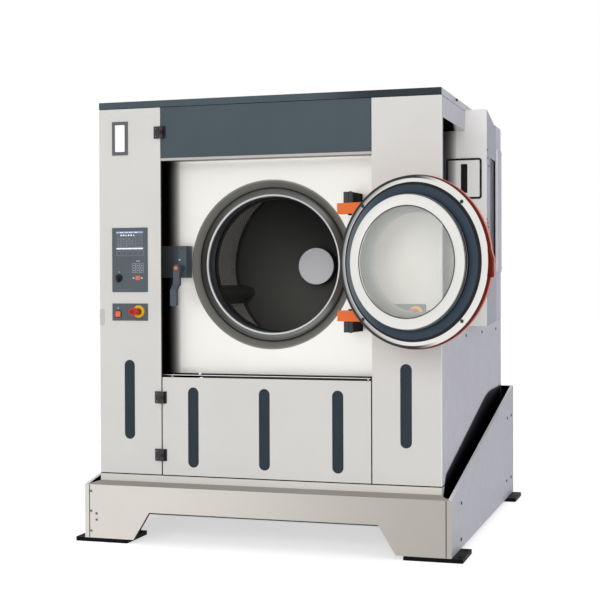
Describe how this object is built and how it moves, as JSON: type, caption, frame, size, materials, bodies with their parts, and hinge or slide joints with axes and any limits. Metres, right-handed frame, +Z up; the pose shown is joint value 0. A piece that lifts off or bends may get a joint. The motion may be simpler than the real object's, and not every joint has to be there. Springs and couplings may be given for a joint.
{
  "type": "washer-extractor",
  "caption": "Soft-mounted industrial washer-extractor on an air-suspended base, its round glass door swung open beside the drum mouth, with lift-off panels and a supply tower.",
  "frame": {"origin": "floor level at the centre of the anchor hole rectangle of the four foot plates", "axes": "+Z up, the door side faces -Y, +X is the viewer's right when facing the door"},
  "size_m": [2.1791, 2.444, 2.207],
  "materials": {
    "panel_paint": "satin light grey powder coat",
    "base_paint": "warm light grey paint",
    "fascia_paint": "blue-grey satin coat",
    "orange_paint": "orange-red gloss coat",
    "stainless": "brushed stainless steel",
    "frame_steel": "grey primer",
    "black_steel": "black satin coat",
    "cast_grey": "painted casting",
    "bearing_steel": "ground steel",
    "motor_paint": "blue-grey gloss paint",
    "seal_rubber": "blue-black moulded rubber",
    "mouth_rubber": "grey moulded rubber",
    "black_rubber": "black rubber",
    "dark_plastic": "dark moulded plastic",
    "control_plastic": "grey control foil",
    "display": "lit display",
    "yellow_plastic": "yellow gloss plastic",
    "red_plastic": "red gloss plastic",
    "orange_plastic": "orange gloss plastic",
    "brass": "brass fitting",
    "glass": "clear door glass",
    "door_steel": "satin stainless ring",
    "pipe_plastic": "grey plastic pipe"
  },
  "bodies": {
    "base": {"base_front_plate": "base_paint", "base_rear_plate": "base_paint", "base_side_plates": "base_paint", "base_beams": "frame_steel", "foot_plates": "black_steel", "air_bellows": "black_rubber"},
    "cabinet": {"chassis_frame": "base_paint", "cabinet_frame": "frame_steel", "column_left": "panel_paint", "column_right": "panel_paint", "top_cover": "panel_paint", "cover_trim": "fascia_paint", "side_panels_left": "panel_paint", "side_panels_right": "panel_paint", "niche_panels": "panel_paint", "rear_panels": "panel_paint", "stainless_front": "stainless", "slot_windows": "dark_plastic", "name_window": "dark_plastic", "control_plates": "control_plastic", "control_display": "display", "stop_collars": "yellow_plastic", "panel_hinge_leaves": "black_steel", "tower_cabinet": "panel_paint", "hatch_gasket": "black_rubber", "door_lock": "dark_plastic", "door_brackets": "black_steel", "mouth_seal": "mouth_rubber", "mouth_ring": "stainless", "outer_tub": "stainless", "tub_cradle": "frame_steel", "bearing_housing": "cast_grey", "main_bearings": "bearing_steel", "drive_motor": "motor_paint", "drain_valve": "pipe_plastic", "water_inlets": "brass", "drive_belt": "black_rubber"},
    "door": {"door_frame": "door_steel", "door_shell": "orange_paint", "door_seal": "seal_rubber", "door_glass": "glass", "door_arms": "orange_paint"},
    "lever": {"lock_lever": "dark_plastic"},
    "lever_button": {"lock_button": "orange_plastic"},
    "key": {"key_switch": "black_steel"},
    "start_left": {"start_button_left": "orange_plastic"},
    "start_right": {"start_button_right": "orange_plastic"},
    "stop_left": {"stop_button_left": "red_plastic"},
    "stop_right": {"stop_button_right": "red_plastic"},
    "fascia": {"fascia_panel": "fascia_paint", "fascia_hinge": "black_steel"},
    "lower": {"lower_panel": "panel_paint", "lower_hinges": "black_steel", "lower_windows": "dark_plastic"},
    "hatch": {"tower_hatch": "panel_paint"},
    "drum": {"wash_drum": "stainless", "drum_shaft": "bearing_steel", "drive_pulley": "cast_grey"},
    "rotor": {"motor_pulley": "bearing_steel"}
  },
  "joints": [
    {"name": "suspension", "type": "slide", "parent": "base", "child": "cabinet", "axis": [0, 0, 1], "range_m": [-0.02, 0.012], "stiffness_N_per_m": 1500000, "springref_m": 0.01205, "deforming": ["air_bellows"]},
    {"name": "door_swing", "type": "hinge", "parent": "cabinet", "child": "door", "pos_m": [0.437, -0.974, 1.394], "axis": [0, 0, 1], "range_deg": [-160.2, 8]},
    {"name": "lever_turn", "type": "hinge", "parent": "cabinet", "child": "lever", "pos_m": [-0.446, -0.93, 1.372], "axis": [0, 1, 0], "range_deg": [0, 90]},
    {"name": "lock_button_press", "type": "slide", "parent": "lever", "child": "lever_button", "axis": [0, 1, 0], "range_m": [0, 0.003], "stiffness_N_per_m": 300},
    {"name": "key_turn", "type": "hinge", "parent": "cabinet", "child": "key", "pos_m": [-0.767, -0.95, 1.324], "axis": [0, 1, 0], "range_deg": [0, 90]},
    {"name": "start_left_press", "type": "slide", "parent": "cabinet", "child": "start_left", "axis": [0, 1, 0], "range_m": [0, 0.003], "stiffness_N_per_m": 400},
    {"name": "start_right_press", "type": "slide", "parent": "cabinet", "child": "start_right", "axis": [0, 1, 0], "range_m": [0, 0.003], "stiffness_N_per_m": 400},
    {"name": "stop_left_press", "type": "slide", "parent": "cabinet", "child": "stop_left", "axis": [0, 1, 0], "range_m": [0, 0.005]},
    {"name": "stop_right_press", "type": "slide", "parent": "cabinet", "child": "stop_right", "axis": [0, 1, 0], "range_m": [0, 0.005]},
    {"name": "fascia_swing", "type": "hinge", "parent": "cabinet", "child": "fascia", "pos_m": [-0.531, -0.954, 2.047], "axis": [0, 0, -1], "range_deg": [0, 110]},
    {"name": "lower_panel_swing", "type": "hinge", "parent": "cabinet", "child": "lower", "pos_m": [-0.531, -0.954, 0.585], "axis": [0, 0, -1], "range_deg": [0, 110]},
    {"name": "hatch_swing", "type": "hinge", "parent": "cabinet", "child": "hatch", "pos_m": [0.955, -0.314, 1.827], "axis": [0, 0, 1], "range_deg": [0, 100]},
    {"name": "drum_spin", "type": "hinge", "parent": "cabinet", "child": "drum", "pos_m": [0, 0, 1.388], "axis": [0, 1, 0], "continuous": true},
    {"name": "motor_spin", "type": "hinge", "parent": "cabinet", "child": "rotor", "pos_m": [0, 0.49, 0.53], "axis": [0, 1, 0], "continuous": true}
  ],
  "couplings": [
    {"joint": "motor_spin", "follows": "drum_spin", "ratio": 4.4}
  ]
}
